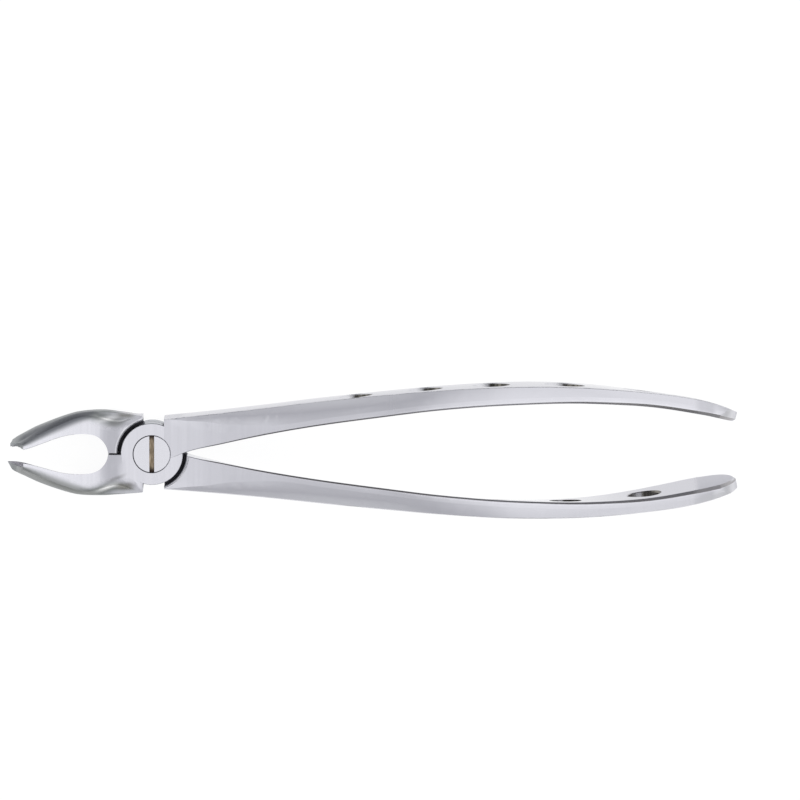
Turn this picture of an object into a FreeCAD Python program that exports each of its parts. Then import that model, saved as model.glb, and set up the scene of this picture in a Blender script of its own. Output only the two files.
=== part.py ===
"""Extraction forceps: two crossed forgings that turn on one slotted pivot screw.

Frame, in millimetres: the origin is on the pivot axis, in the flat back face of
the joint.  +X runs to the handle ends, +Z along the pivot axis to the screw
head, and +Y to the handle of the front half.
"""
import FreeCAD, Part
import math
import os
from FreeCAD import Vector

# ---------------------------------------------------------------- joint
JOINT_THICKNESS = 10.0
PARTING_Z = 5.0             # height of the face between the two plates
PLATE_GAP = 0.10            # running clearance between the two plates
DISC_RADIUS = 7.55           # rim of each plate, seen in the notches
DISC_EDGE = 0.12            # small bevel on the rim of each plate
SHOULDER_RADIUS = 8.45       # hollow shoulder that the other plate turns in
SHOULDER_LIP = 0.45         # bevel along the edge of the shoulder
HANDLE_STEP_X = 3.0         # notch wall on the handle side
BEAK_STEP_X = -2.2          # notch wall on the beak side
PUNCH_RADIUS = 0.45         # assembly mark beside each notch

# ---------------------------------------------------------------- pivot screw
HEAD_RADIUS = 4.55
HEAD_THICKNESS = 2.2
SHANK_RADIUS = 3.0
THREAD_RADIUS = 2.5
HEAD_CLEARANCE = 0.09
SHANK_CLEARANCE = 0.05
SEAT_CLEARANCE = 0.06
SLOT_WIDTH = 1.2
SLOT_DEPTH = 1.3
SCREW_EDGE = 0.12

# ---------------------------------------------------------------- handles
# Each curve is given by a few (x, value) points; y is measured on the handle
# at +Y, z from the back face of the joint.
HANDLE_END_CENTRE = (135.4, -6.3)      # x and z of the round end's centre
HANDLE_END_RADIUS = 8.35
HANDLE_END_TILT_DEG = 14.0
HANDLE_END_FLARE_DEG = 2.5
HANDLE_END_CHAMFER = 0.9
HANDLE_END_EDGE = 0.45
HANDLE_INNER_Y = [(3, -1.5), (6.5, -0.7), (8.5, 0.5), (15.5, 1.95), (27.7, 4.4), (41, 6.6), (56, 8.6),
                  (70, 10.3), (85, 11.5), (103, 12.1), (118, 11.55), (130, 10.0),
                  (138.7, 8.3), (145, 6.8)]
HANDLE_OUTER_Y = [(3, 8.65), (12, 9.45), (26.5, 10.9), (41, 12.55), (56, 14.0),
                  (70, 15.2), (85, 16.05), (96, 16.25), (107, 15.95), (120, 14.95),
                  (130, 13.7), (138.7, 11.6), (145, 8.9)]
# Hand straightening leaves both handles a little off the middle, towards +Y.
HANDLE_SET_Y = [(3, 0.0), (10, 0.1), (41, 0.55), (70, 0.7), (85, 0.6), (100, 0.4),
                (114, 0.1), (145, -0.45)]
HANDLE_BACK_Z = [(3, 0.0), (12, 0.0), (32, 0.0), (54, -0.2), (67, -0.5), (80, -1.5),
                 (94, -4.0), (112, -8.8), (126, -12.6), (136, -14.9), (145, -16.9)]
HANDLE_FRONT_Z = [(3, 10.0), (12, 10.4), (33, 11.9), (56, 13.4), (71, 14.1), (84, 13.7),
                  (96, 12.2), (108, 9.9), (119, 6.9), (132, 3.2), (145, -0.6)]
HANDLE_BEVEL_Z = [(3, 0.25), (20, 1.1), (38, 1.8), (56, 1.7), (72, 1.3), (95, 1.1), (145, 1.1)]
HANDLE_CHAMFER = [(3, 0.15), (12, 0.25), (30, 0.4), (90, 0.45), (125, 0.7), (145, 0.9)]
FLAT_SHARE = [(3, 0.94), (12, 0.66), (24, 0.26), (34, 0.04), (145, 0.04)]
HANDLE_LEAN_DEG = [(3, 0.0), (85, 0.0), (100, 1.0), (114, 3.0), (125, 4.8), (145, 5.8)]
# The inner face leans away from the front, so that the section narrows to the back.
HANDLE_DRAFT_DEG = [(3, 0.0), (12, 2.5), (25, 5.8), (78, 5.8), (88, 5.0), (98, 4.0),
                    (107, 3.1), (120, 1.2), (132, 0.0), (145, 0.0)]
HANDLE_STATIONS = [3, 8, 12, 16, 20, 25, 30, 36, 44, 52, 60, 68, 76, 84, 92, 100, 108,
                   116, 123, 129, 134, 138, 141, 145]
BEVEL_BOW = [(3, 0.05), (15, 0.2), (30, 0.3), (50, 0.26), (72, 0.1), (145, 0.05)]
OUTER_FACE_BOW = 0.08       # the outer face is slightly crowned
# How far the rounding of each edge reaches, starting at the inner front chamfer.
HANDLE_ROUNDINGS = [0.12, 0.12, 1.0, 0.25, 0.35, 1.0, 0.12, 0.12]

# Lightening holes: x, z, bore diameter, diameter of the outer chamfer's rim.
HANDLE_HOLES = [(50.0, 7.2, 6.2, 8.4),
                (67.0, 7.0, 6.4, 8.6),
                (83.0, 6.4, 7.2, 9.2),
                (101.0, 3.6, 7.8, 10.0),
                (120.5, -1.7, 8.0, 10.4)]
INNER_CHAMFER = 0.5

# ---------------------------------------------------------------- beaks
# Measured on the beak at +Y.  The section has five corners: inner front, ridge,
# outer front, outer back and inner back.
BEAK_INNER_Y = [(-38, 1.45), (-33, 1.5), (-31, 1.6), (-28.8, 2.15), (-25.8, 3.1),
                (-22, 4.3), (-19, 4.75), (-16.5, 4.3), (-13.5, 2.0), (-11, 0.12),
                (-2.2, 0.12)]
BEAK_RIDGE_Y = [(-38, 1.8), (-33, 2.1), (-31.4, 2.6), (-23, 5.8), (-18.3, 7.7),
                (-14.8, 8.6), (-12.2, 8.3), (-10.4, 7.8), (-8.5, 7.5), (-5.5, 7.9),
                (-2.2, 9.1)]
BEAK_OUTER_Y = [(-38, 2.3), (-36, 2.7), (-34.5, 3.4), (-33, 4.4), (-31, 5.45),
                (-29, 6.5), (-27, 7.35), (-22, 9.05), (-18.5, 9.85), (-15.5, 10.15),
                (-12, 10.3), (-7.5, 10.0), (-2.2, 9.4)]
BEAK_FRONT_Z = [(-38, 19.2), (-31, 15.8), (-26.5, 13.5), (-22, 11.5), (-18.5, 10.3),
                (-15.5, 9.65), (-13, 9.4), (-10.5, 9.6), (-8, 9.95), (-7, 10.0), (-2.2, 10.0)]
BEAK_OUTER_FRONT_Z = [(-38, 16.4), (-31.5, 13.6), (-25, 10.9), (-20, 9.0), (-17, 8.2),
                      (-14, 7.4), (-11.4, 7.1), (-8.7, 7.6), (-6, 8.7), (-4, 9.5),
                      (-2.2, 9.9)]
BEAK_OUTER_BACK_Z = [(-38, 12.4), (-32, 9.4), (-25, 6.2), (-19, 3.8), (-14, 2.0),
                     (-9, 0.9), (-2.2, 0.25)]
BEAK_BACK_Z = [(-38, 11.3), (-34, 9.3), (-28.2, 6.1), (-23.6, 4.1), (-19, 2.2),
               (-14.3, 0.7), (-9.5, 0.0), (-2.2, 0.0)]
BEAK_STATIONS = [-38, -36, -34.5, -33, -31, -28.5, -26, -23.5, -21, -18.5, -16.5, -14.5,
                 -12.8, -11.4, -10, -8.5, -7, -5.5, -4, -2.2]
# The outer face draws in towards its front near the end, and towards its back elsewhere.
BEAK_FRONT_LEANS = [(-38, 0.2), (-36, 0.4), (-34.5, 0.8), (-33, 1.3), (-31, 1.5),
                    (-27, 1.0), (-22, 0.4), (-17, 0.0), (-2.2, 0.0)]
BEAK_BACK_LEANS = [(-38, 0.0), (-30, 0.1), (-19, 0.5), (-4, 0.5), (-2.2, 0.3)]
# The biting face opens towards the back.
BEAK_BACK_OPENS = [(-38, 0.1), (-34, 0.2), (-29, 0.9), (-18, 0.9), (-11, 0.0), (-2.2, 0.0)]
BEAK_ROUNDING = 0.25
RIDGE_ROUNDING = [(-38, 0.3), (-31, 0.8), (-24, 1.6), (-16, 2.2), (-5, 2.0), (-2.2, 0.3)]
# How far each side of the section bows outwards; a hollow side is negative.
HOLLOW_BOW = [(-38, 0.1), (-30, 0.3), (-20, 0.35), (-15.5, 0.1), (-12, -0.4), (-9, -0.65),
              (-5, -0.25), (-2.2, 0.0)]
OUTER_BOW = [(-38, 0.05), (-30, 0.35), (-16, 0.5), (-6, 0.2), (-2.2, 0.0)]
BACK_BOW = [(-38, 0.05), (-28, 0.2), (-16, 0.3), (-8, 0.05), (-2.2, 0.0)]
GOUGE_BOW = [(-38, -0.3), (-36, -0.45), (-34.5, -0.7), (-33, -0.95), (-30, -1.1),
             (-24, -0.95), (-18, -0.6), (-11, 0.0), (-2.2, 0.0)]
# The opening between the beaks, at the joint's front face; it widens towards the back.
OPENING = [(-10.7, 0.0), (-11.6, 2.6), (-13.3, 4.15), (-15.8, 4.85), (-18.6, 4.9),
           (-23.0, 3.7), (-28.0, 0.8)]
OPENING_MIDDLE_X = -19.0
OPENING_DRAFT = (0.008, 0.02)       # widening along x and y for each mm of depth
# The ends of the beaks, seen from the side: corners at the front and the back.
BEAK_END_FRONT = (-31.2, 15.9)
SCALLOPED_END_BACK = (-35.45, 9.9)
POINTED_END_BACK = (-34.0, 9.7)
POINT_LENGTH = 2.0          # middle point of the rear half's beak
SCALLOP_DEPTH = 1.3         # hollow in the end of the front half's beak

# Fine lengthwise grooves on the biting faces.
GROOVE_COUNT = 10
GROOVE_FLANK = 0.8          # half width for each mm of depth
GROOVE_DEPTH = 0.22
GROOVE_REACH = 0.35         # the cutter stands this far out of the face
GROOVE_STATIONS = [-39, -36, -33, -30, -27, -24, -21, -19, -17]
GROOVE_FADE_X = -20.0       # towards the joint the grooves converge and run out


def smooth(points):
    """Return f(x) through the points: a cubic whose slope never overshoots."""
    xs = [point[0] for point in points]
    ys = [point[1] for point in points]
    secants = [(ys[i + 1] - ys[i]) / (xs[i + 1] - xs[i]) for i in range(len(xs) - 1)]
    slopes = [secants[0]]
    for before, after in zip(secants, secants[1:]):
        if before * after <= 0:
            slopes.append(0.0)
        else:
            slopes.append(2 * before * after / (before + after))
    slopes.append(secants[-1])

    def value(x):
        x = min(max(x, xs[0]), xs[-1])
        i = max(k for k in range(len(xs) - 1) if xs[k] <= x)
        width = xs[i + 1] - xs[i]
        t = (x - xs[i]) / width
        start = ys[i] * (1 + 2 * t) + width * slopes[i] * t
        end = ys[i + 1] * (3 - 2 * t) - width * slopes[i + 1] * (1 - t)
        return start * (1 - t) ** 2 + end * t ** 2

    return value


def section(corners, bows, roundings):
    """Return a closed wire in a plane of constant x.

    Side i runs from corner i to the next one and bows outwards by bows[i].
    Corner i is rounded over the distance roundings[i].  The corners go round
    clockwise when seen from +X, so that outwards is to the left of each side.
    """
    sides = []
    count = len(corners)
    for i in range(count):
        start = corners[i]
        end = corners[(i + 1) % count]
        along = end - start
        outwards = Vector(0, -along.z, along.y).normalize()
        middle = (start + end) * 0.5 + outwards * (2 * bows[i])
        side = Part.BezierCurve()
        side.setPoles([start, middle, end])
        first = min(roundings[i] / along.Length, 0.42)
        last = min(roundings[(i + 1) % count] / along.Length, 0.42)
        side.segment(first, 1 - last)
        sides.append(side)
    edges = []
    for i in range(count):
        following = sides[(i + 1) % count]
        corner = Part.BezierCurve()
        corner.setPoles([sides[i].getPole(3), corners[(i + 1) % count],
                         following.getPole(1)])
        edges.append(sides[i].toShape())
        edges.append(corner.toShape())
    return Part.Wire(edges)


def handle_edges(x, side):
    """Inner and outer y at the front edges of the handle on the given side, +1 or -1."""
    offset = side * smooth(HANDLE_SET_Y)(x)
    return smooth(HANDLE_INNER_Y)(x) + offset, smooth(HANDLE_OUTER_Y)(x) + offset


def handle_section(x, side):
    """Section of a handle, drawn at +Y: square inside, bevelled to a narrower outer face."""
    inner, outer = handle_edges(x, side)
    back = smooth(HANDLE_BACK_Z)(x)
    front = smooth(HANDLE_FRONT_Z)(x)
    bevel = smooth(HANDLE_BEVEL_Z)(x)
    chamfer = smooth(HANDLE_CHAMFER)(x)
    flat = inner + chamfer + (outer - inner) * smooth(FLAT_SHARE)(x)
    draft = math.tan(math.radians(smooth(HANDLE_DRAFT_DEG)(x))) * (front - back)
    flat_back = max(flat, inner + draft + chamfer + 0.2)
    lean = math.tan(math.radians(smooth(HANDLE_LEAN_DEG)(x)))
    outline = [(inner, front - chamfer), (inner + chamfer, front), (flat, front),
               (outer, front - bevel), (outer, back + bevel), (flat_back, back),
               (inner + draft + chamfer, back), (inner + draft, back + chamfer)]
    crown = smooth(BEVEL_BOW)(x)
    bows = [0.0, 0.0, crown, OUTER_FACE_BOW, crown, 0.0, 0.0, 0.0]
    corners = [Vector(x, y + lean * (z - front), z) for y, z in outline]
    return section(corners, bows, HANDLE_ROUNDINGS)


def across_handle(x, z, side):
    """Point on the handle's outer face, direction square to it, and the thickness there."""
    inner_y, outer_y = handle_edges(x, side)
    before = handle_edges(x - 1, side)
    after = handle_edges(x + 1, side)
    slope = (sum(after) - sum(before)) / 4
    lean = math.tan(math.radians(smooth(HANDLE_LEAN_DEG)(x)))
    outwards = Vector(-slope, 1, -lean).normalize()
    outer = Vector(x, outer_y + lean * (z - smooth(HANDLE_FRONT_Z)(x)), z)
    return outer, outwards, (outer_y - inner_y) * outwards.y


def round_end(side):
    """Disc square to the handle, with a wide chamfer inside and a narrow one outside."""
    outer, outwards, thickness = across_handle(*HANDLE_END_CENTRE, side)
    over = 1.0
    radius = HANDLE_END_RADIUS
    wide = radius - HANDLE_END_CHAMFER
    narrow = radius - HANDLE_END_EDGE
    profile = [(0, -thickness - over), (wide - over, -thickness - over),
               (radius, -thickness + HANDLE_END_CHAMFER), (radius, -HANDLE_END_EDGE),
               (narrow - over, over), (0, over)]
    points = [Vector(r, 0, height) for r, height in profile]
    face = Part.Face(Part.makePolygon(points + points[:1]))
    solid = face.revolve(Vector(0, 0, 0), Vector(0, 0, 1), 360)
    turn = FreeCAD.Rotation(Vector(0, 0, 1), outwards)
    solid.Placement = FreeCAD.Placement(outer, turn)
    return solid


def handle_end_trim(side):
    """The space that the handle keeps: seen from the side, a round end that flares back."""
    centre = Vector(HANDLE_END_CENTRE[0], -30, HANDLE_END_CENTRE[1])
    outline = []
    for edge in (1, -1):
        turn = math.radians(HANDLE_END_TILT_DEG + edge * HANDLE_END_FLARE_DEG)
        along = Vector(math.cos(turn), 0, -math.sin(turn))
        across = Vector(math.sin(turn), 0, math.cos(turn)) * edge
        start = centre + across * HANDLE_END_RADIUS
        outline += [start, start - along * 60][::edge]
    flared = Part.Face(Part.makePolygon(outline + outline[:1])).extrude(Vector(0, 60, 0))
    rest = Part.makeBox(100, 60, 60, Vector(-1, -30, -30))
    return flared.fuse([round_end(side), rest])


def hole_cutter(x, z, bore, rim, side):
    """Bore and chamfers of one lightening hole, square to the outer face."""
    outer, outwards, thickness = across_handle(x, z, side)
    inner = outer - outwards * thickness
    over = 0.6
    chamfer = (rim - bore) / 2
    cutter = Part.makeCylinder(bore / 2, 16, outer - outwards * 10, outwards)
    countersink = Part.makeCone(bore / 2, rim / 2 + over, chamfer + over,
                                outer - outwards * chamfer, outwards)
    back_sink = Part.makeCone(bore / 2, bore / 2 + INNER_CHAMFER + over, INNER_CHAMFER + over,
                              inner + outwards * INNER_CHAMFER, outwards * -1)
    return cutter.fuse([countersink, back_sink])


def handle(side):
    """A handle, drawn at +Y, with its rounded end and lightening holes."""
    blank = Part.makeLoft([handle_section(x, side) for x in HANDLE_STATIONS], True, False)
    shaped = blank.common(handle_end_trim(side))
    return shaped.cut([hole_cutter(*hole, side) for hole in HANDLE_HOLES])


def beak_corners(x):
    """Corners of the section of the beak at +Y, starting at the inner front one."""
    inner = smooth(BEAK_INNER_Y)(x)
    outer = smooth(BEAK_OUTER_Y)(x)
    front = smooth(BEAK_FRONT_Z)(x)
    back = smooth(BEAK_BACK_Z)(x)
    ridge = smooth(BEAK_RIDGE_Y)(x)
    outer_front = smooth(BEAK_OUTER_FRONT_Z)(x)
    outer_back = smooth(BEAK_OUTER_BACK_Z)(x)
    front_leans = smooth(BEAK_FRONT_LEANS)(x)
    back_leans = smooth(BEAK_BACK_LEANS)(x)
    opens = smooth(BEAK_BACK_OPENS)(x)
    return [Vector(x, inner, front), Vector(x, ridge, front), Vector(x, outer - front_leans, outer_front),
            Vector(x, outer - back_leans, outer_back), Vector(x, inner + opens, back)]


def beak_section(x):
    """Section of the beak at +Y: hollow towards the bite, ridged at the front."""
    bows = [smooth(curve)(x) for curve in (HOLLOW_BOW, OUTER_BOW, BACK_BOW, GOUGE_BOW)]
    bows.insert(0, 0.0)     # the rim is flat
    roundings = [BEAK_ROUNDING] * len(bows)
    roundings[1] = smooth(RIDGE_ROUNDING)(x)
    return section(beak_corners(x), bows, roundings)


def opening_outline(z):
    """Outline of the space between the beaks at height z, on the +Y side."""
    depth = JOINT_THICKNESS - z
    points = []
    for x, y in OPENING:
        reach = (x - OPENING_MIDDLE_X) * (1 + OPENING_DRAFT[0] * depth)
        points.append(Vector(OPENING_MIDDLE_X + reach, y * (1 + OPENING_DRAFT[1] * depth), z))
    curve = Part.BSplineCurve()
    curve.interpolate(points)
    below = Vector(0, -5, 0)
    first = points[0]
    last = points[-1]
    straight = Part.makePolygon([last, last + below, first + below, first])
    return Part.Wire([curve.toShape()] + straight.Edges)


def beak_opening():
    """Egg-shaped space between the beaks, on the +Y side, wider at the back."""
    return Part.makeLoft([opening_outline(-2), opening_outline(20)], True, True)


def groove_cutter(index):
    """One lengthwise V groove on the biting face of the beak at +Y."""
    share = (index + 0.5) / GROOVE_COUNT
    triangles = []
    for x in GROOVE_STATIONS:
        fade = min(1.0, max(0.0, (x - GROOVE_FADE_X) / (GROOVE_STATIONS[-1] - GROOVE_FADE_X)))
        local = 0.5 + (share - 0.5) * (1 - 0.65 * fade)
        corners = beak_corners(x)
        front, back = corners[0], corners[4]
        bow = -smooth(GOUGE_BOW)(x)
        middle = back + (front - back) * local
        surface = middle.y + 4 * bow * local * (1 - local)
        depth = GROOVE_DEPTH * (1 - fade) - 0.1 * fade
        slant = GROOVE_FLANK * (GROOVE_REACH + depth) * (1 - 0.8 * fade)
        mouth = surface - GROOVE_REACH
        triangles.append(Part.makePolygon([
            Vector(x, mouth, middle.z - slant), Vector(x, surface + depth, middle.z),
            Vector(x, mouth, middle.z + slant), Vector(x, mouth, middle.z - slant)]))
    return Part.makeLoft(triangles, True, False)


def end_trim(pointed):
    """The space beyond the end of a beak: pointed in the middle, or scalloped."""
    front = Vector(BEAK_END_FRONT[0], -30, BEAK_END_FRONT[1])
    back_x, back_z = POINTED_END_BACK if pointed else SCALLOPED_END_BACK
    back = Vector(back_x, -30, back_z)
    along = (back - front).normalize()
    beyond = Vector(along.z, 0, -along.x) * 1.0
    middle = (front + back) * 0.5
    start = front - along * 3
    finish = back + along * 3
    if pointed:
        tip = middle + beyond * POINT_LENGTH
        flanks = [Part.Arc(front, (front + tip) * 0.5 - beyond * 0.25, tip).toShape(),
                  Part.Arc(tip, (tip + back) * 0.5 - beyond * 0.25, back).toShape()]
    else:
        flanks = [Part.Arc(front, middle - beyond * SCALLOP_DEPTH, back).toShape()]
    far = beyond * 12
    edges = [Part.makeLine(start, front)] + flanks + [Part.makeLine(back, finish)]
    edges += Part.makePolygon([finish, finish + far, start + far, start]).Edges
    face = Part.Face(Part.Wire(Part.__sortEdges__(edges)))
    return face.extrude(Vector(0, 60, 0))


def beak(pointed):
    """The beak at +Y with its opening, grooves and shaped end."""
    blank = Part.makeLoft([beak_section(x) for x in BEAK_STATIONS], True, False)
    shaped = blank.cut(beak_opening())
    shaped = shaped.cut([groove_cutter(i) for i in range(GROOVE_COUNT)])
    return shaped.cut(end_trim(pointed))


def mirrored(shape):
    """Mirror a shape from the +Y side to the -Y side."""
    return shape.mirror(Vector(0, 0, 0), Vector(0, 1, 0))


def disc(bottom, top):
    """Joint plate with slightly bevelled rims."""
    plate = Part.makeCylinder(DISC_RADIUS, top - bottom, Vector(0, 0, bottom))
    rims = [edge for edge in plate.Edges if edge.Curve.TypeId == "Part::GeomCircle"]
    return plate.makeChamfer(DISC_EDGE, rims)


def shoulder_cutter(bottom, top, open_side):
    """Room for the other half's plate, with a bevelled lip at its open side."""
    depth = top - bottom
    room = Part.makeCylinder(SHOULDER_RADIUS, depth, Vector(0, 0, bottom))
    face = top if open_side > 0 else bottom
    axis = Vector(0, 0, open_side)
    lip = Part.makeCone(SHOULDER_RADIUS, SHOULDER_RADIUS + 2 * SHOULDER_LIP, 2 * SHOULDER_LIP,
                        Vector(0, 0, face) - axis * SHOULDER_LIP, axis)
    return room.fuse([lip])


def punch_mark(x, y, z):
    """A punched dot, as a small ball to cut away."""
    return Part.makeSphere(PUNCH_RADIUS, Vector(x, y, z))


def front_half():
    """Front plate with the handle at +Y and the beak at -Y."""
    floor = PARTING_Z + PLATE_GAP
    plate = disc(floor, JOINT_THICKNESS)
    body = plate.fuse([handle(1), mirrored(beak(pointed=False))])
    body = body.cut(shoulder_cutter(0, floor, -1))
    seat = JOINT_THICKNESS - HEAD_THICKNESS - SEAT_CLEARANCE
    shank_hole = Part.makeCylinder(SHANK_RADIUS + SHANK_CLEARANCE, 20, Vector(0, 0, -5))
    counterbore = Part.makeCylinder(HEAD_RADIUS + HEAD_CLEARANCE, 20, Vector(0, 0, seat))
    mark = punch_mark(BEAK_STEP_X + 1.0, -DISC_RADIUS, JOINT_THICKNESS - 1.3)
    return body.cut([shank_hole, counterbore, mark]).removeSplitter()


def rear_half():
    """Rear plate with the handle at -Y and the beak at +Y."""
    plate = disc(0, PARTING_Z)
    body = plate.fuse([mirrored(handle(-1)), beak(pointed=True)])
    body = body.cut(shoulder_cutter(PARTING_Z, JOINT_THICKNESS, 1))
    thread_hole = Part.makeCylinder(THREAD_RADIUS, 20, Vector(0, 0, -5))
    mark = punch_mark(BEAK_STEP_X + 1.0, DISC_RADIUS, PARTING_Z / 2)
    return body.cut([thread_hole, mark]).removeSplitter()


def pivot_screw():
    """Flush slotted screw: the head turns in the front plate, the thread holds the rear."""
    head = Part.makeCylinder(HEAD_RADIUS, HEAD_THICKNESS,
                             Vector(0, 0, JOINT_THICKNESS - HEAD_THICKNESS))
    shank = Part.makeCylinder(SHANK_RADIUS, JOINT_THICKNESS - HEAD_THICKNESS - PARTING_Z,
                              Vector(0, 0, PARTING_Z))
    thread = Part.makeCylinder(THREAD_RADIUS, PARTING_Z)
    screw = head.fuse([shank, thread]).removeSplitter()
    ends = [edge for edge in screw.Edges
            if edge.Curve.TypeId == "Part::GeomCircle"
            and (edge.CenterOfMass.z < 0.01 or edge.CenterOfMass.z > JOINT_THICKNESS - 0.01)]
    screw = screw.makeChamfer(SCREW_EDGE, ends)
    slot = Part.makeBox(SLOT_WIDTH, 4 * HEAD_RADIUS, SLOT_DEPTH + 1,
                        Vector(-SLOT_WIDTH / 2, -2 * HEAD_RADIUS, JOINT_THICKNESS - SLOT_DEPTH))
    return screw.cut(slot)


def main():
    os.makedirs("parts", exist_ok=True)
    nodes = {"front_half": front_half(), "rear_half": rear_half(), "pivot_screw": pivot_screw()}
    for name, shape in nodes.items():
        if len(shape.Solids) != 1 or not shape.isValid():
            raise ValueError(f"{name}: {len(shape.Solids)} solids, valid {shape.isValid()}")
        shape.Solids[0].exportStep(f"parts/{name}.step")
        box = shape.BoundBox
        print(f"{name}: {shape.Volume / 1000:.2f} cm3, x {box.XMin:.1f} to {box.XMax:.1f}, "
              f"y {box.YMin:.1f} to {box.YMax:.1f}, z {box.ZMin:.1f} to {box.ZMax:.1f}")


main()
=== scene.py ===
# %% [markdown]
# # Extraction forceps
# Two steel forgings cross at one slotted screw.  Their shapes come from the construction
# model as they are: crisp joint faces, handles with rounded edges and countersunk holes,
# and gouge beaks with cut serrations.  What is left for this file is what a maker does
# after the milling: brushing, polishing and blasting each face.  Painted shade and painted
# highlights are laid into the tone of the bevels, chamfers, beaks, joint and holes in place
# of their reflections.  Then comes a white table with soft light to show the tool on.

# %% Load the fixed frame
import math

import bpy
import numpy as np
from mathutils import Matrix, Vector


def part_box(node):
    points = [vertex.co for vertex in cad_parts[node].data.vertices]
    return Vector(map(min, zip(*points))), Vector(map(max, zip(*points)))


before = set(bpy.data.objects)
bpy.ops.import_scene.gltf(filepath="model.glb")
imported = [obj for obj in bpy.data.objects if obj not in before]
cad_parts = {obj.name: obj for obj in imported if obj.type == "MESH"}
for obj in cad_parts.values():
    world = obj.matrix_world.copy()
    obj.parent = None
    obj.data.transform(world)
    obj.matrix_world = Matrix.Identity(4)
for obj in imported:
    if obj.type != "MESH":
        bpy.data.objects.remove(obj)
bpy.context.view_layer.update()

# %% [markdown]
# ## The table
# The forceps lies on its back.  It touches the table at the flat back face of the joint
# and, because the handles bend down, at their ends.  Turning the tool would take it out
# of its frame, so the table is tilted a little instead: a plane through both contacts.

# %% A plane through the joint's back face and the handle ends
TABLE_SIZE = 8.0
TABLE_CLEARANCE = 0.0004
CONTACT_SHARE = 0.955        # how far along the handle its end touches the table

lowest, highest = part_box("rear_half")
TABLE_SLOPE = lowest[2] / (highest[0] * CONTACT_SHARE)


def plane_mesh(name, size, slope, offset):
    """Flat square of the given size: z = slope * x - offset at every point."""
    half = size / 2
    x = np.array([-half, half, half, -half])
    y = np.array([-half, -half, half, half])
    points = np.stack([x, y, slope * x - offset], axis=1)
    mesh = bpy.data.meshes.new(name)
    mesh.from_pydata(points.tolist(), [], [(0, 1, 2, 3)])
    mesh.update()
    return mesh


table_mesh = plane_mesh("table", TABLE_SIZE, TABLE_SLOPE, TABLE_CLEARANCE)
table = bpy.data.objects.new("table", table_mesh)
bpy.context.scene.collection.objects.link(table)
print("table slope, degrees:", round(math.degrees(math.atan(TABLE_SLOPE)), 2))

# %% [markdown]
# ## The camera
# The view looks down the pivot screw from a little above the upper handle, so that this
# handle's polished outer face just shows as a bright edge.  A long lens from far away
# keeps both handles at the same scale; a short one would swell the beaks, which rise
# towards it.

# %% Camera above the screw, tipped towards the upper handle
VIEW_WIDTH = 0.1952          # metres across the picture at the joint's front face
VIEW_CENTRE = Vector((0.0606, 0.0133, 0.010))
VIEW_TILT_DEG = 5.6
CAMERA_DISTANCE = 3.0
SENSOR_MM = 36.0

camera_data = bpy.data.cameras.new("camera")
camera_data.sensor_width = SENSOR_MM
camera_data.lens = SENSOR_MM * CAMERA_DISTANCE / VIEW_WIDTH
camera = bpy.data.objects.new("camera", camera_data)
bpy.context.scene.collection.objects.link(camera)
tilt = math.radians(VIEW_TILT_DEG)
camera.location = VIEW_CENTRE + CAMERA_DISTANCE * Vector((0, math.sin(tilt), math.cos(tilt)))
camera.rotation_euler = (-tilt, 0, 0)
bpy.context.scene.camera = camera
print("lens, mm:", round(camera_data.lens))

# %% [markdown]
# ## Short words for nodes
# Light and materials are trees of small nodes: each takes numbers or colours in, and
# gives one out.  They could be drawn by hand in the shader editor.  Written as functions
# that return an output, they read like arithmetic and can be used again for each piece.


# %% A node, its inputs and one sum
def add_node(tree, kind, **values):
    """Add a node; values name its properties, or its input sockets with _ for a space."""
    node = tree.nodes.new(kind)
    for key, value in values.items():
        if hasattr(node, key):
            setattr(node, key, value)
        else:
            feed(tree, node.inputs[key.replace("_", " ")], value)
    return node


def feed(tree, socket, value):
    """Link an output to an input socket, or set the socket to a number or a colour."""
    if isinstance(value, bpy.types.NodeSocket):
        tree.links.new(value, socket)
    elif socket.type == "RGBA":
        socket.default_value = (*value, 1)
    else:
        socket.default_value = value


def maths(tree, operation, *values):
    """The result of one math operation on outputs or numbers; it isn't clamped."""
    node = add_node(tree, "ShaderNodeMath", operation=operation)
    for socket, value in zip(node.inputs, values):
        feed(tree, socket, value)
    return node.outputs[0]


print("words for nodes:", add_node.__name__, feed.__name__, maths.__name__)


# %% Masks: 1 on a finish, 0 away from it
def fade(tree, value, start, end):
    """A smooth step: 0 where the value is at start, 1 where it is at end."""
    node = add_node(tree, "ShaderNodeMapRange", interpolation_type="SMOOTHSTEP")
    for socket, number in zip(node.inputs, (value, start, end, 0.0, 1.0)):
        feed(tree, socket, number)
    return node.outputs[0]


def overlap(tree, *masks):
    """1 where every mask is 1: the product of them all."""
    product = masks[0]
    for mask in masks[1:]:
        product = maths(tree, "MULTIPLY", product, mask)
    return product


def union(tree, first, second):
    """1 where either mask is 1: the larger of the two."""
    return maths(tree, "MAXIMUM", first, second)


def opposite(tree, mask):
    """1 where the mask is 0: one minus the mask."""
    return maths(tree, "SUBTRACT", 1.0, mask)


def between(tree, value, low, high, soft):
    """1 where the value lies between low and high, fading out over soft on both sides."""
    return overlap(tree, fade(tree, value, low - soft, low + soft),
                   fade(tree, value, high + soft, high - soft))


print("words for masks:", fade.__name__, overlap.__name__, union.__name__, between.__name__)


# %% Blends of numbers, colours and shaders
def mix_number(tree, share, first, second):
    """Blend two numbers: the first where the share is 0, the second where it is 1."""
    node = add_node(tree, "ShaderNodeMix", data_type="FLOAT")
    feed(tree, node.inputs[0], share)
    feed(tree, node.inputs[2], first)
    feed(tree, node.inputs[3], second)
    return node.outputs[0]


def mix_colour(tree, share, first, second):
    """Blend two colours: the first where the share is 0, the second where it is 1."""
    node = add_node(tree, "ShaderNodeMix", data_type="RGBA")
    feed(tree, node.inputs[0], share)
    feed(tree, node.inputs[6], first)
    feed(tree, node.inputs[7], second)
    return node.outputs[2]


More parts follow.
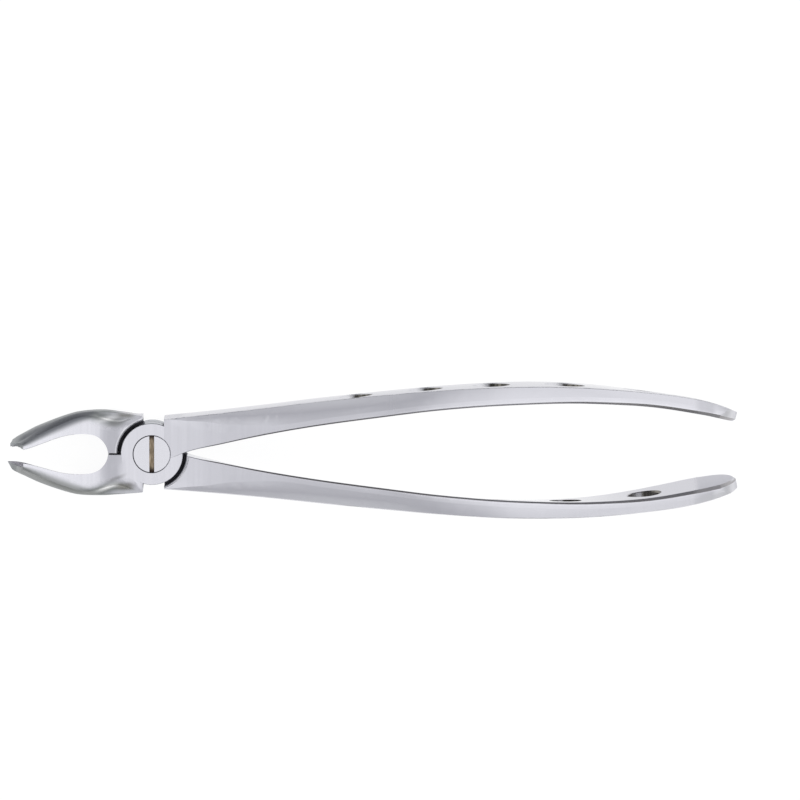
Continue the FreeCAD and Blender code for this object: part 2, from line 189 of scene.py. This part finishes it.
def ramp(tree, value, stops):
    """A colour that follows a value through (position, colour) stops."""
    node = tree.nodes.new("ShaderNodeValToRGB")
    elements = node.color_ramp.elements
    while len(elements) < len(stops):
        elements.new(0.5)
    for element, (position, colour) in zip(elements, stops):
        element.position = position
        element.color = (*colour, 1)
    feed(tree, node.inputs[0], value)
    return node.outputs[0]


def blend_shaders(tree, share, first, second, output_kind):
    """Show the first shader where the share is 0 and the second where it is 1."""
    blend = add_node(tree, "ShaderNodeMixShader")
    output = add_node(tree, output_kind)
    feed(tree, blend.inputs[0], share)
    tree.links.new(first.outputs[0], blend.inputs[1])
    tree.links.new(second.outputs[0], blend.inputs[2])
    tree.links.new(blend.outputs[0], output.inputs[0])


print("words for blends:", mix_number.__name__, mix_colour.__name__, ramp.__name__)

# %% [markdown]
# ## The light
# Polished steel shows its surroundings more than itself, so the studio is what gives the
# faces their tones: a bright ceiling over the joint and the handles, and a darker horizon
# that draws the bevels and the hollow-ground beaks.  Large lamps could do the same, but
# would leave hard edges in the steel.  The world holds it as a gradient over how far up,
# and how far towards the handles, a direction points.

# %% The ceiling and the horizon
HANDLE_SIDE_SHARE = 1.2      # how much further down the ceiling reaches on that side
CEILING = [(0.00, (0.72, 0.73, 0.75)), (0.44, (0.72, 0.72, 0.75)),
           (0.60, (0.54, 0.54, 0.57)), (0.72, (0.62, 0.62, 0.66)),
           (0.84, (0.98, 0.98, 1.01)), (1.00, (1.12, 1.12, 1.15))]
HORIZON_TONES = ((0.27, 0.28, 0.26), (0.15, 0.155, 0.17))
HORIZON_TURN = (-0.4, 0.4)   # from the first tone to the second, going north
HORIZON_TOP = (0.18, 0.38)   # where the horizon ends and the ceiling begins

world = bpy.data.worlds.new("studio")
bpy.context.scene.world = world
world.use_nodes = True
tree = world.node_tree
tree.nodes.clear()
direction = add_node(tree, "ShaderNodeTexCoord")
split = add_node(tree, "ShaderNodeSeparateXYZ")
tree.links.new(direction.outputs["Generated"], split.inputs[0])
east, north, up = split.outputs
reach = maths(tree, "ADD", up, maths(tree, "MULTIPLY", east, HANDLE_SIDE_SHARE))
ceiling = ramp(tree, reach, CEILING)
horizon = mix_colour(tree, fade(tree, north, *HORIZON_TURN), *HORIZON_TONES)
studio = mix_colour(tree, fade(tree, up, *HORIZON_TOP), horizon, ceiling)
print("brightest part of the ceiling:", CEILING[-1][1])

# %% [markdown]
# The eye itself should see plain white behind the table.  A light path tells a ray that
# starts at the camera from one that left the steel, so each can get its own background.

# %% White to the eye, the studio to the steel
WHITE = (1, 1, 1)

studio_light = add_node(tree, "ShaderNodeBackground", Color=studio, Strength=1.0)
white_light = add_node(tree, "ShaderNodeBackground", Color=WHITE, Strength=1.0)
path = add_node(tree, "ShaderNodeLightPath")
seen_white = union(tree, path.outputs["Is Camera Ray"], path.outputs["Is Transmission Ray"])
blend_shaders(tree, seen_white, studio_light, white_light, "ShaderNodeOutputWorld")
print("world nodes:", len(tree.nodes))

# %% [markdown]
# One weak, large lamp stands off beyond the handle ends.  It gives the table a soft
# shadow and leaves the tones of the steel to the studio.

# %% The lamp
LAMP_PLACE = Vector((1.2, 0.35, 0.9))
LAMP_AIM = Vector((0.06, 0, 0))
LAMP_SIZE = 0.9
LAMP_POWER = 0.5

lamp_data = bpy.data.lights.new("side_lamp", "AREA")
lamp_data.size = LAMP_SIZE
lamp_data.energy = LAMP_POWER
lamp = bpy.data.objects.new("side_lamp", lamp_data)
lamp.location = LAMP_PLACE
lamp.rotation_euler = (LAMP_AIM - LAMP_PLACE).to_track_quat("-Z", "Y").to_euler()
bpy.context.scene.collection.objects.link(lamp)
print("lamp, watts and metres:", LAMP_POWER, LAMP_SIZE)

# %% [markdown]
# ## The steel
# Both halves and the screw are one kind of stainless steel: a metal shader with a tone, a
# roughness and fine marks.  Pure metal turns fully white where it is seen edge on, which
# would melt into a white table, so the tint of the edges is held back a little.

# %% A new material and its metal shader
EDGE_TINT = (0.80, 0.80, 0.82)
MARK_STRENGTH = 0.10
MARK_DEPTH = 0.00001


def new_material(name):
    """An empty material, its node tree and its piece's own coordinates."""
    material = bpy.data.materials.new(name)
    material.use_nodes = True
    tree = material.node_tree
    tree.nodes.clear()
    return material, tree, add_node(tree, "ShaderNodeTexCoord")


def end_in_steel(tree, tone, rough, marks):
    """End the tree in metal; the marks are a height, as a share of MARK_DEPTH."""
    bump = add_node(tree, "ShaderNodeBump", Height=marks, Strength=MARK_STRENGTH,
                    Distance=MARK_DEPTH)
    shader = add_node(tree, "ShaderNodeBsdfPrincipled", Metallic=1.0,
                      Specular_Tint=EDGE_TINT, Base_Color=tone, Roughness=rough,
                      Normal=bump.outputs[0])
    output = add_node(tree, "ShaderNodeOutputMaterial")
    tree.links.new(shader.outputs[0], output.inputs[0])


print("depth of the marks, micrometres:", round(MARK_DEPTH * 1e6))

# %% [markdown]
# A brush leaves thousands of fine parallel scratches.  Cutting them would be hopeless, so
# they are noise stretched along the stroke: high frequency across it, low along it.

# %% Brush marks and distances
NOISE_ROUGHNESS = 0.6


def streaks(tree, point, frequencies, detail):
    """Noise whose point is first multiplied by a frequency for each axis, per metre."""
    stretch = add_node(tree, "ShaderNodeVectorMath", operation="MULTIPLY")
    tree.links.new(point, stretch.inputs[0])
    stretch.inputs[1].default_value = frequencies
    noise = add_node(tree, "ShaderNodeTexNoise", Scale=1.0, Detail=detail,
                     Roughness=NOISE_ROUGHNESS)
    tree.links.new(stretch.outputs[0], noise.inputs["Vector"])
    return noise.outputs["Fac"]


def distance(tree, first, second):
    """The length of the slanting side: the root of the sum of the two squares."""
    return maths(tree, "SQRT", maths(tree, "ADD", maths(tree, "MULTIPLY", first, first),
                                     maths(tree, "MULTIPLY", second, second)))


print("words for surfaces:", streaks.__name__, distance.__name__)

# %% [markdown]
# ## Finding a place on a half
# A maker brushes the flats across the handle, mirror-polishes the outer and inner faces,
# leaves a grinder's satin in the hollows of the beaks and blasts the biting faces matte.
# Each could be a material of its own if the halves were cut up.  Here one material for
# each half finds its finishes from where a point is and which way its surface faces, in
# the piece's own coordinates, so that they stay in place when the forceps opens.

# %% Where a point is, and which way it faces
HANDLE_FROM = (0.006, 0.010)         # the handle begins between these, in x
BEAK_FROM = (-0.0105, -0.0135)       # and the beak between these


class HalfSurface:
    """Places and directions on one half, as outputs; beak_side is 1 for a beak at +Y.

    inwards says how far a face looks at the gap between the beaks: the Y part of its
    normal, turned round for a beak at +Y.  The halves cross at the screw, so on a handle
    the senses swap: there, outwards looks at the other handle.
    """

    def __init__(self, tree, coordinates, beak_side):
        place = add_node(tree, "ShaderNodeSeparateXYZ")
        facing = add_node(tree, "ShaderNodeSeparateXYZ")
        tree.links.new(coordinates.outputs["Object"], place.inputs[0])
        tree.links.new(coordinates.outputs["Normal"], facing.inputs[0])
        self.tree = tree
        self.point = coordinates.outputs["Object"]
        self.beak_side = beak_side
        self.x, self.y, self.z = place.outputs
        self.facing_x, self.facing_y, self.facing_z = facing.outputs
        self.aside = maths(tree, "ABSOLUTE", self.y)
        self.sideways = maths(tree, "ABSOLUTE", self.facing_y)
        self.inwards = maths(tree, "MULTIPLY", self.facing_y, -beak_side)
        self.outwards = maths(tree, "MULTIPLY", self.inwards, -1.0)
        self.radius = distance(tree, self.x, self.y)
        self.on_handle = fade(tree, self.x, *HANDLE_FROM)
        self.on_beak = fade(tree, self.x, *BEAK_FROM)


print("the handle begins at x =", HANDLE_FROM[0], "and the beak at x =", BEAK_FROM[0])

# %% [markdown]
# ## The beaks
# A beak is ground like a gouge.  A ridge runs along it, from the middle at its end out
# towards the joint, and a satin band lies outside the ridge.  The hollow and the band are
# given dark tones of painted shade.  Where the hollow runs out near the joint, a bright lobe
# is painted in as a highlight, with a grey valley and a dark fold of painted shade beside
# it.  Painted from one side they would smear on the others, so each is measured from a line.
# In the limits here, a pair is the start and the end of a fade, and three numbers are the
# low end, the high end and the softness of a band.  Lengths are in metres.

# %% Limits of a beak's finishes
BITING_FACES = (0.45, 0.75)          # looking inwards by this much, a face bites
# The hollow is satin, and its dark tone is painted shade.
HOLLOW_FACES = (0.05, 0.55)          # looking outwards by this much, it is hollow-ground
HOLLOW_FROM = (-0.005, -0.010)
END_CUT_FACES = (-0.25, -0.5)        # the cut end of a beak looks along -X
END_CUT_FROM = (-0.0285, -0.0305)
END_CUT_SHARE = 0.8
RIDGE_START = -0.0379                # where the ridge's line meets the middle, in x
RIDGE_SLOPE = 0.39
# The band is satin, and its dark tone is painted shade.
BAND_EDGE = (-0.0008, 0.0011)        # how far past the ridge the band begins
BAND_REACH = (-0.0325, -0.0136, 0.0014)
BAND_FACES = (0.10, 0.45)            # looking up by this much
# The lobe is a painted highlight; the valley and the fold are painted shade.
HIGHLIGHT_LOBE_X = -0.0102
HIGHLIGHT_LOBE_REACH = (-0.0126, -0.0088, 0.0018)
HIGHLIGHT_LOBE_WIDTH = (-0.0004, 0.0006, 0.0006)
SHADE_VALLEY_REACH = (-0.0110, -0.0068, 0.0014)
SHADE_VALLEY_WIDTH = (-0.0016, -0.0011, 0.0006)
FOLD_SHADE_REACH = (-0.0086, -0.0046, 0.0012)
FOLD_SHADE_SOFTNESS = 0.0006
print("the ridges lean out by, degrees:", round(math.degrees(math.atan(RIDGE_SLOPE)), 1))


# %% Masks on the beaks
def beak_masks(at, beak):
    """Masks of a beak's finishes.

    The ridge's line is RIDGE_SLOPE times the way from RIDGE_START away from the middle.
    The lobe's line is highlight_y from the middle at HIGHLIGHT_LOBE_X, and grows by highlight_slope times the
    way along x from there.
    """
    tree = at.tree
    ridge = maths(tree, "MULTIPLY", maths(tree, "SUBTRACT", at.x, RIDGE_START), RIDGE_SLOPE)
    past_ridge = maths(tree, "SUBTRACT", at.aside, ridge)
    highlight_line = maths(tree, "MULTIPLY_ADD", maths(tree, "SUBTRACT", at.x, HIGHLIGHT_LOBE_X),
                      beak["highlight_slope"], beak["highlight_y"])
    off_highlight = maths(tree, "SUBTRACT", at.aside, highlight_line)
    hollow = overlap(tree, fade(tree, at.outwards, *HOLLOW_FACES),
                     fade(tree, at.x, *HOLLOW_FROM))
    end_cut = overlap(tree, fade(tree, at.facing_x, *END_CUT_FACES),
                      fade(tree, at.x, *END_CUT_FROM), END_CUT_SHARE)
    # Painted shade in the hollow, the band, the valley and the fold; a painted highlight in the lobe.
    return {
        "biting": overlap(tree, fade(tree, at.inwards, *BITING_FACES), at.on_beak),
        "hollow": union(tree, hollow, end_cut),
        "band": overlap(tree, fade(tree, past_ridge, *BAND_EDGE),
                        between(tree, at.x, *BAND_REACH),
                        fade(tree, at.facing_z, *BAND_FACES)),
        "highlight_lobe": overlap(tree, between(tree, at.x, *HIGHLIGHT_LOBE_REACH),
                        between(tree, off_highlight, *HIGHLIGHT_LOBE_WIDTH)),
        "shade_valley": overlap(tree, between(tree, at.x, *SHADE_VALLEY_REACH),
                          between(tree, off_highlight, *SHADE_VALLEY_WIDTH)),
        "fold_shade": overlap(tree, between(tree, at.x, *FOLD_SHADE_REACH),
                        between(tree, at.aside, *beak["fold_shade_y"], FOLD_SHADE_SOFTNESS)),
    }


print("made:", beak_masks.__name__)

# %% [markdown]
# ## The joint
# Each half's round plate turns in a recess of the other half, with a gap round it.  Light
# hardly gets into the gap, the seam round the screw's head or the slit where the halves
# meet between the beaks, so these are given a dark tone rather than left to many bounces
# of light.  The plate's rim, where it shows in a notch, gets a milder painted shade.  The
# bevelled lip of the recess is the opposite: it catches the light, which is painted in as
# a highlight.

# %% Limits of the joint's parts
JOINT_TOP = 0.010
DISC_GAP = (0.00745, 0.00862, 0.0001)      # radii of the gap round a joint plate
GAP_HEIGHT = (0.0002, JOINT_TOP - 0.0003, 0.0001)
NOTCH = (-0.0021, 0.0029, 0.0001)          # the open notches between beak and handle, in x
NOTCH_SOFT = (-0.0022, 0.0029, 0.0004)
RIM_FACES = (0.5, 0.7)                     # the plate's rim, seen in a notch
SLIT_REACH = (-0.0105, -0.0070, 0.0001)    # where the two halves meet, in x
SLIT_WIDTH = (-0.00022, 0.00022, 0.0001)
SLIT_TOP = (JOINT_TOP, JOINT_TOP - 0.0002)
SEAM_RADII = (0.00456, 0.00468, 0.00004)   # the seam round the screw's head
SEAM_FADE = (0.0044, -0.0020)              # it is strongest on the beaks' side
LIP_RADII = (0.00852, 0.00905, 0.0001)
LIP_HEIGHT = (0.0037, 0.0045)              # measured from the joint's middle plane
print("width of the gap's mask, mm:", round((DISC_GAP[1] - DISC_GAP[0]) * 1000, 2))


# %% Masks on the joint
def joint_masks(at):
    """Masks of the joint; its rings lie between two distances from the screw's axis."""
    tree = at.tree
    in_notch = between(tree, at.x, *NOTCH)
    gap = overlap(tree, between(tree, at.radius, *DISC_GAP),
                  between(tree, at.z, *GAP_HEIGHT), opposite(tree, in_notch))
    slit = overlap(tree, between(tree, at.x, *SLIT_REACH),
                   between(tree, at.y, *SLIT_WIDTH), fade(tree, at.z, *SLIT_TOP))
    seam = overlap(tree, between(tree, at.radius, *SEAM_RADII), fade(tree, at.x, *SEAM_FADE))
    height = maths(tree, "MULTIPLY", maths(tree, "SUBTRACT", at.z, JOINT_TOP / 2),
                   at.beak_side)
    return {
        "in_gap": union(tree, union(tree, gap, slit), seam),
        # Painted shade on the plate's rim where it shows in a notch.
        "rim": overlap(tree, fade(tree, at.sideways, *RIM_FACES), in_notch),
        "lip": overlap(tree, between(tree, at.radius, *LIP_RADII),
                       fade(tree, height, *LIP_HEIGHT),
                       opposite(tree, between(tree, at.x, *NOTCH_SOFT))),
    }


print("made:", joint_masks.__name__)

# %% [markdown]
# ## The handles
# A handle has a broad bevel along its outer front corner and a narrow chamfer along the
# inner one.  The two broad side faces are polished, the front is brushed, and the rounded
# end is ground soft.  A face is told from its neighbours by the way it looks.

# %% Limits of a handle's finishes
POLISHED_FACES = (0.80, 0.93)        # looking sideways by this much
INNER_SIDE = (0.2, -0.2)             # the polished face that looks at the other handle
BEVEL_FACES = (0.14, 0.60, 0.10)
CHAMFER_FACES = (0.42, 0.90, 0.06)
CHAMFER_FROM = (0.010, 0.016)
CHAMFER_UP = (0.25, 0.45)            # the front chamfer looks up by this much
END_CENTRE = (0.1354, -0.0063)       # centre of the rounded end, x and z
END_RIM = (0.0072, 0.0076)           # its chamfer, as distances from that centre
END_RIM_FROM = (0.1335, 0.1350)
END_SOFT_FROM = (0.1320, 0.1345)
# The front of the rounded end, where it looks up, is lighter: a painted highlight.
END_HIGHLIGHT_FROM = (0.1368, 0.1384)
END_HIGHLIGHT_UP = (0.3, 0.5)
print("centre of the rounded ends, x and z:", END_CENTRE)


# %% Masks on the handles
def handle_masks(at):
    """Masks of a handle; the rim of its end is a ring round END_CENTRE in x and z."""
    tree = at.tree
    polished = overlap(tree, fade(tree, at.sideways, *POLISHED_FACES), at.on_handle)
    from_end = distance(tree, maths(tree, "SUBTRACT", at.x, END_CENTRE[0]),
                        maths(tree, "SUBTRACT", at.z, END_CENTRE[1]))
    end_rim = overlap(tree, fade(tree, from_end, *END_RIM), fade(tree, at.x, *END_RIM_FROM))
    front_edge = overlap(tree, fade(tree, at.x, *CHAMFER_FROM),
                         fade(tree, at.facing_z, *CHAMFER_UP))
    chamfer = overlap(tree, union(tree, end_rim, front_edge),
                      between(tree, at.outwards, *CHAMFER_FACES))
    return {
        "polished": polished,
        "inner_face": overlap(tree, polished, fade(tree, at.inwards, *INNER_SIDE)),
        "bevel": overlap(tree, between(tree, at.inwards, *BEVEL_FACES), at.on_handle),
        "chamfer": chamfer,
        "soft_end": fade(tree, at.x, *END_SOFT_FROM),
        # A painted highlight on the front of the rounded end.
        "end_front_highlight": overlap(tree, fade(tree, at.x, *END_HIGHLIGHT_FROM),
                             fade(tree, at.facing_z, *END_HIGHLIGHT_UP),
                             opposite(tree, chamfer)),
    }


print("made:", handle_masks.__name__)

# %% [markdown]
# ## The holes
# Five countersunk holes lighten each handle.  The half of each hole nearer the joint is
# bright, and the half nearer the handle's end lies in shade.  In a white studio light
# reaches both halves, so the shade is laid into the walls of the bores as a tone.

# %% Places of the holes
# Each hole's centre in x and z, and the radius of its bore.
HOLES = [(0.0500, 0.0072, 0.0031), (0.0670, 0.0070, 0.0032), (0.0830, 0.0064, 0.0036),
         (0.1010, 0.0036, 0.0039), (0.1205, -0.0017, 0.0040)]
WALL_BEYOND = (0.0007, 0.0005)       # how far past the bore's radius a wall is still met
WALL_FACES = (0.6, 0.4)
SUNK_BEYOND = (0.0010, 0.0008)       # the same with part of the countersink
SUNK_FACES = (0.86, 0.78)
SHADE_BELOW = (0.0014, 0.0006)       # the shade stays under this height over the centre
SHADE_FROM = (-0.0010, -0.0002)      # and begins here, in x from the centre
print("holes in each handle:", len(HOLES))


# %% Masks in the holes
def hole_masks(at):
    """Masks of the bores: where the distance to a hole's axis is at most its radius."""
    tree = at.tree
    bored, shaded = 0.0, 0.0
    for hole_x, hole_z, bore in HOLES:
        across = maths(tree, "SUBTRACT", at.x, hole_x)
        above = maths(tree, "SUBTRACT", at.z, hole_z)
        away = distance(tree, across, above)
        wall = fade(tree, away, bore + WALL_BEYOND[0], bore + WALL_BEYOND[1])
        sunk = fade(tree, away, bore + SUNK_BEYOND[0], bore + SUNK_BEYOND[1])
        shade = overlap(tree, sunk, fade(tree, above, *SHADE_BELOW),
                        fade(tree, across, *SHADE_FROM))
        bored = union(tree, bored, wall)
        shaded = union(tree, shaded, shade)
    return {
        "bored": overlap(tree, bored, fade(tree, at.sideways, *WALL_FACES)),
        "shaded": overlap(tree, shaded, fade(tree, at.sideways, *SUNK_FACES)),
    }


print("made:", hole_masks.__name__)

# %% [markdown]
# ## Marks, roughness and tone
# The marks are three kinds of noise: fine brush marks across the handle, broader ones
# that vary the shine, and grain on the blasted faces.  Roughness says how far a
# reflection is smeared, from a mirror at 0 to matte at 1.  Both roughness and tone are
# laid on as coats, one mask after the other, so a later coat covers an earlier one.

# %% The marks of a half
LEVEL = 0.5                          # the middle height of a mark


def half_marks(at):
    """The four noises of a half, each stretched by its frequencies per metre."""
    return {
        "brushed": streaks(at.tree, at.point, (4200, 40, 40), 3.0),
        "broad": streaks(at.tree, at.point, (1300, 25, 25), 2.0),
        "clouds": streaks(at.tree, at.point, (160, 160, 160), 3.0),
        "grain": streaks(at.tree, at.point, (9000, 9000, 9000), 2.0),
    }


def half_height(at, masks, marks):
    """Brush marks on the flats, none on polished faces and grain on the biting faces."""
    height = mix_number(at.tree, masks["polished"], marks["brushed"], LEVEL)
    return mix_number(at.tree, masks["biting"], height, marks["grain"])


print("made:", half_marks.__name__, half_height.__name__)

# %% The roughness of a half
PLAIN_ROUGHNESS = 0.26
ROUGHNESS_COATS = [("polished", 0.10), ("hollow", 0.40), ("band", 0.42), ("biting", 0.48),
                   ("in_gap", 0.75), ("soft_end", 0.45)]
ROUGHNESS_SPREAD = 0.06


def half_roughness(at, masks, marks):
    """The coats of roughness, plus ROUGHNESS_SPREAD times the broad marks round zero."""
    tree = at.tree
    rough = PLAIN_ROUGHNESS
    for mask, coat in ROUGHNESS_COATS:
        rough = mix_number(tree, masks[mask], rough, coat)
    uneven = maths(tree, "SUBTRACT", marks["broad"], LEVEL)
    return maths(tree, "ADD", rough, maths(tree, "MULTIPLY", uneven, ROUGHNESS_SPREAD))


print("coats of roughness:", len(ROUGHNESS_COATS))

# %% [markdown]
# Most of what the eye reads as light and dark on steel is reflection, so the bare tones
# lie close together, and strong ones, painted shade and painted highlights, are kept for
# narrow places.  Across a bevel the tone follows the way its face looks, painted shade in
# its middle that turns to a painted highlight towards the front of the handle, and a chamfer
# is a line of painted shade, darkest near the joint.

# %% Tones of the bare steel, and painted shade and highlights for the bevels, chamfers and holes
STEEL_TONES = ((0.69, 0.69, 0.72), (0.715, 0.715, 0.75))
BROAD_MARKS = {"fade": (0.35, 0.65), "share": 0.14, "tone": (0.60, 0.60, 0.635)}
FINE_MARKS = {"fade": (0.4, 0.6), "share": 0.12, "tone": (0.58, 0.58, 0.62)}
# Painted shade in the bevel's middle and a painted highlight towards its front.
BEVEL_SHADING_TONES = [(0.10, (0.74, 0.74, 0.77)), (0.24, (0.66, 0.66, 0.69)),
               (0.34, (0.60, 0.60, 0.63)), (0.44, (0.70, 0.70, 0.73)),
               (0.56, (0.84, 0.84, 0.87))]
# Painted shade along the chamfers.
CHAMFER_SHADE_TONES = ((0.30, 0.29, 0.29), (0.46, 0.45, 0.46))
CHAMFER_TURN = (0.05, 0.09)          # from the first tone to the second, in x
SHADE_TONES = ((0.07, 0.068, 0.06), (0.22, 0.21, 0.19))
SHADE_STREAKS = (0.4, 0.6)
print("tones of the bare steel:", STEEL_TONES)


# %% The tone of a half
def marked(tree, tone, noise, marks):
    """A tone darkened by a share where the noise is high."""
    share = overlap(tree, fade(tree, noise, *marks["fade"]), marks["share"])
    return mix_colour(tree, share, tone, marks["tone"])


def half_tone(at, masks, marks, band_shade_tone):
    """Clouds and brush marks of the bare steel, then a coat of tone for each mask."""
    tree = at.tree
    # Painted shade for the chamfers and the holes.
    chamfer_shade = mix_colour(tree, fade(tree, at.x, *CHAMFER_TURN), *CHAMFER_SHADE_TONES)
    shade_tone = mix_colour(tree, fade(tree, marks["broad"], *SHADE_STREAKS), *SHADE_TONES)
    tone = mix_colour(tree, marks["clouds"], *STEEL_TONES)
    tone = marked(tree, tone, marks["broad"], BROAD_MARKS)
    tone = marked(tree, tone, marks["brushed"], FINE_MARKS)
    # Painted shade: the bevel's middle, the chamfer, the rim in a notch, the hollow, the band,
    # the lobe, the lip and the front of the rounded end.
    # the valley, the fold, the holes' shade and the gap.  Painted highlights: the bevel's front,
    coats = [("polished", (0.60, 0.60, 0.64)), ("inner_face", (0.61, 0.61, 0.65)),
             ("bevel", ramp(tree, at.inwards, BEVEL_SHADING_TONES)), ("chamfer", chamfer_shade),
             ("rim", (0.38, 0.40, 0.43)), ("hollow", (0.36, 0.375, 0.375)),
             ("band", band_shade_tone), ("shade_valley", (0.36, 0.36, 0.36)),
             ("fold_shade", (0.30, 0.295, 0.28)), ("highlight_lobe", (0.98, 0.98, 0.98)),
             ("lip", (0.92, 0.92, 0.94)), ("end_front_highlight", (0.76, 0.76, 0.79)),
             ("bored", (0.60, 0.60, 0.62)), ("shaded", shade_tone),
             ("biting", (0.40, 0.39, 0.43)), ("in_gap", (0.16, 0.16, 0.18))]
    for mask, coat in coats:
        tone = mix_colour(tree, masks[mask], tone, coat)
    return tone


print("made:", half_tone.__name__)

# %% [markdown]
# ## Finishing the two halves
# The two beaks aren't painted alike, since their outer faces look towards opposite sides
# of the studio: the band's painted shade is darker and bluer on the rear half, whose beak is
# at +Y, and the painted highlight lobes lean differently.

# %% How the two beaks differ
# The band tones are painted shade, and the lobe and fold lines place painted highlights and shade.
FRONT_BEAK = {"band_shade_tone": (0.33, 0.338, 0.335), "highlight_y": 0.0079, "highlight_slope": -0.40,
              "fold_shade_y": (0.0071, 0.0088)}
REAR_BEAK = {"band_shade_tone": (0.162, 0.168, 0.182), "highlight_y": 0.0085, "highlight_slope": 0.15,
             "fold_shade_y": (0.0089, 0.0098)}
print("tones of the bands:", FRONT_BEAK["band_shade_tone"], REAR_BEAK["band_shade_tone"])


# %% One finish for each half
def half_finish(name, beak_side, beak):
    """Steel of one half; beak_side is 1 for a beak at +Y and -1 for one at -Y."""
    material, tree, coordinates = new_material(name)
    at = HalfSurface(tree, coordinates, beak_side)
    masks = {**beak_masks(at, beak), **joint_masks(at), **handle_masks(at), **hole_masks(at)}
    marks = half_marks(at)
    end_in_steel(tree, half_tone(at, masks, marks, beak["band_shade_tone"]),
                 half_roughness(at, masks, marks), half_height(at, masks, marks))
    return material


def put_on(node_name, material):
    """Put a material in the slot of a piece of the fixed frame."""
    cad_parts[node_name].material_slots[0].material = material
    print(node_name, "has", material.name, "with", len(material.node_tree.nodes), "nodes")


put_on("front_half", half_finish("front_half_finish", -1, FRONT_BEAK))
put_on("rear_half", half_finish("rear_half_finish", 1, REAR_BEAK))

# %% [markdown]
# ## The pivot screw
# The screw's head is turned flush with the joint and has a straight slot across it.
# The slot is given a streaked brown tone, near black at its two ends.  A separate piece
# would have to be fitted for it, so the slot is found by depth instead: what lies under the
# joint's face is inside the slot.

# %% Tones of the slot and the head
SLOT_DEPTHS = (JOINT_TOP - 0.0004, JOINT_TOP - 0.0009)
SLOT_ENDS = (0.0030, 0.0043)
SLOT_TONES = [(0.3, (0.16, 0.12, 0.08)), (0.5, (0.42, 0.34, 0.24)),
              (0.7, (0.70, 0.60, 0.45))]
SLOT_END_TONE = (0.08, 0.06, 0.05)
HEAD_TONES = ((0.70, 0.70, 0.73), (0.75, 0.75, 0.78))
HEAD_ROUGHNESS = 0.18
HEAD_ROUGHNESS_SPREAD = 0.2
SLOT_ROUGHNESS = 0.6
print("the film begins below the joint's face by, mm:", round((JOINT_TOP - SLOT_DEPTHS[0]) * 1000, 1))


# %% Turned steel with a brown tone in the slot
def screw_finish(name):
    """Steel of the screw; the roughness of its head grows with the clouds on it."""
    material, tree, coordinates = new_material(name)
    point = coordinates.outputs["Object"]
    place = add_node(tree, "ShaderNodeSeparateXYZ")
    tree.links.new(point, place.inputs[0])
    in_slot = fade(tree, place.outputs["Z"], *SLOT_DEPTHS)
    towards_end = fade(tree, maths(tree, "ABSOLUTE", place.outputs["Y"]), *SLOT_ENDS)
    clouds = streaks(tree, point, (900, 900, 900), 3.0)
    brushed = streaks(tree, point, (5200, 400, 900), 3.0)
    slot_streaks = streaks(tree, point, (2500, 350, 350), 3.0)
    slot_tone = mix_colour(tree, towards_end, ramp(tree, slot_streaks, SLOT_TONES), SLOT_END_TONE)
    tone = mix_colour(tree, in_slot, mix_colour(tree, clouds, *HEAD_TONES), slot_tone)
    head_rough = maths(tree, "ADD", HEAD_ROUGHNESS,
                       maths(tree, "MULTIPLY", clouds, HEAD_ROUGHNESS_SPREAD))
    rough = mix_number(tree, in_slot, head_rough, SLOT_ROUGHNESS)
    end_in_steel(tree, tone, rough, brushed)
    return material


put_on("pivot_screw", screw_finish("pivot_screw_finish"))

# %% [markdown]
# ## The white table
# The table is matte and white.  To the eye it is mostly a plain white glow, so that it
# blends into the white behind it, and the rest is matte paint that keeps the tool's soft
# shadow.  The steel sees the glow alone.  Under the open corner of the joint's throat the
# glow is left out, or the table would shine through there as a white dot.

# %% Matte paint with a glow
PAINT = (0.88, 0.88, 0.88)
GLOW = 1.1
GLOW_SHARE = 0.84                    # how much of the glow the eye sees
THROAT = (-0.0078, -0.0007, 0)
THROAT_SPOT = (0.0009, 0.0018)

table_material, tree, coordinates = new_material("white_table")
paint = add_node(tree, "ShaderNodeBsdfDiffuse", Color=PAINT)
glow = add_node(tree, "ShaderNodeEmission", Color=WHITE, Strength=GLOW)
path = add_node(tree, "ShaderNodeLightPath")
from_throat = add_node(tree, "ShaderNodeVectorMath", operation="DISTANCE")
tree.links.new(coordinates.outputs["Object"], from_throat.inputs[0])
from_throat.inputs[1].default_value = THROAT
clear = overlap(tree, fade(tree, from_throat.outputs["Value"], *THROAT_SPOT), GLOW_SHARE)
glowing = overlap(tree, path.outputs["Is Camera Ray"], clear)
glowing = union(tree, glowing, path.outputs["Is Glossy Ray"])
glowing = union(tree, glowing, path.outputs["Is Transmission Ray"])
blend_shaders(tree, glowing, paint, glow, "ShaderNodeOutputMaterial")
table.data.materials.append(table_material)
print("table nodes:", len(tree.nodes))

# %% [markdown]
# ## The view
# The Standard view shows each colour as it is written.

# %% The Standard view
bpy.context.scene.view_settings.view_transform = "Standard"
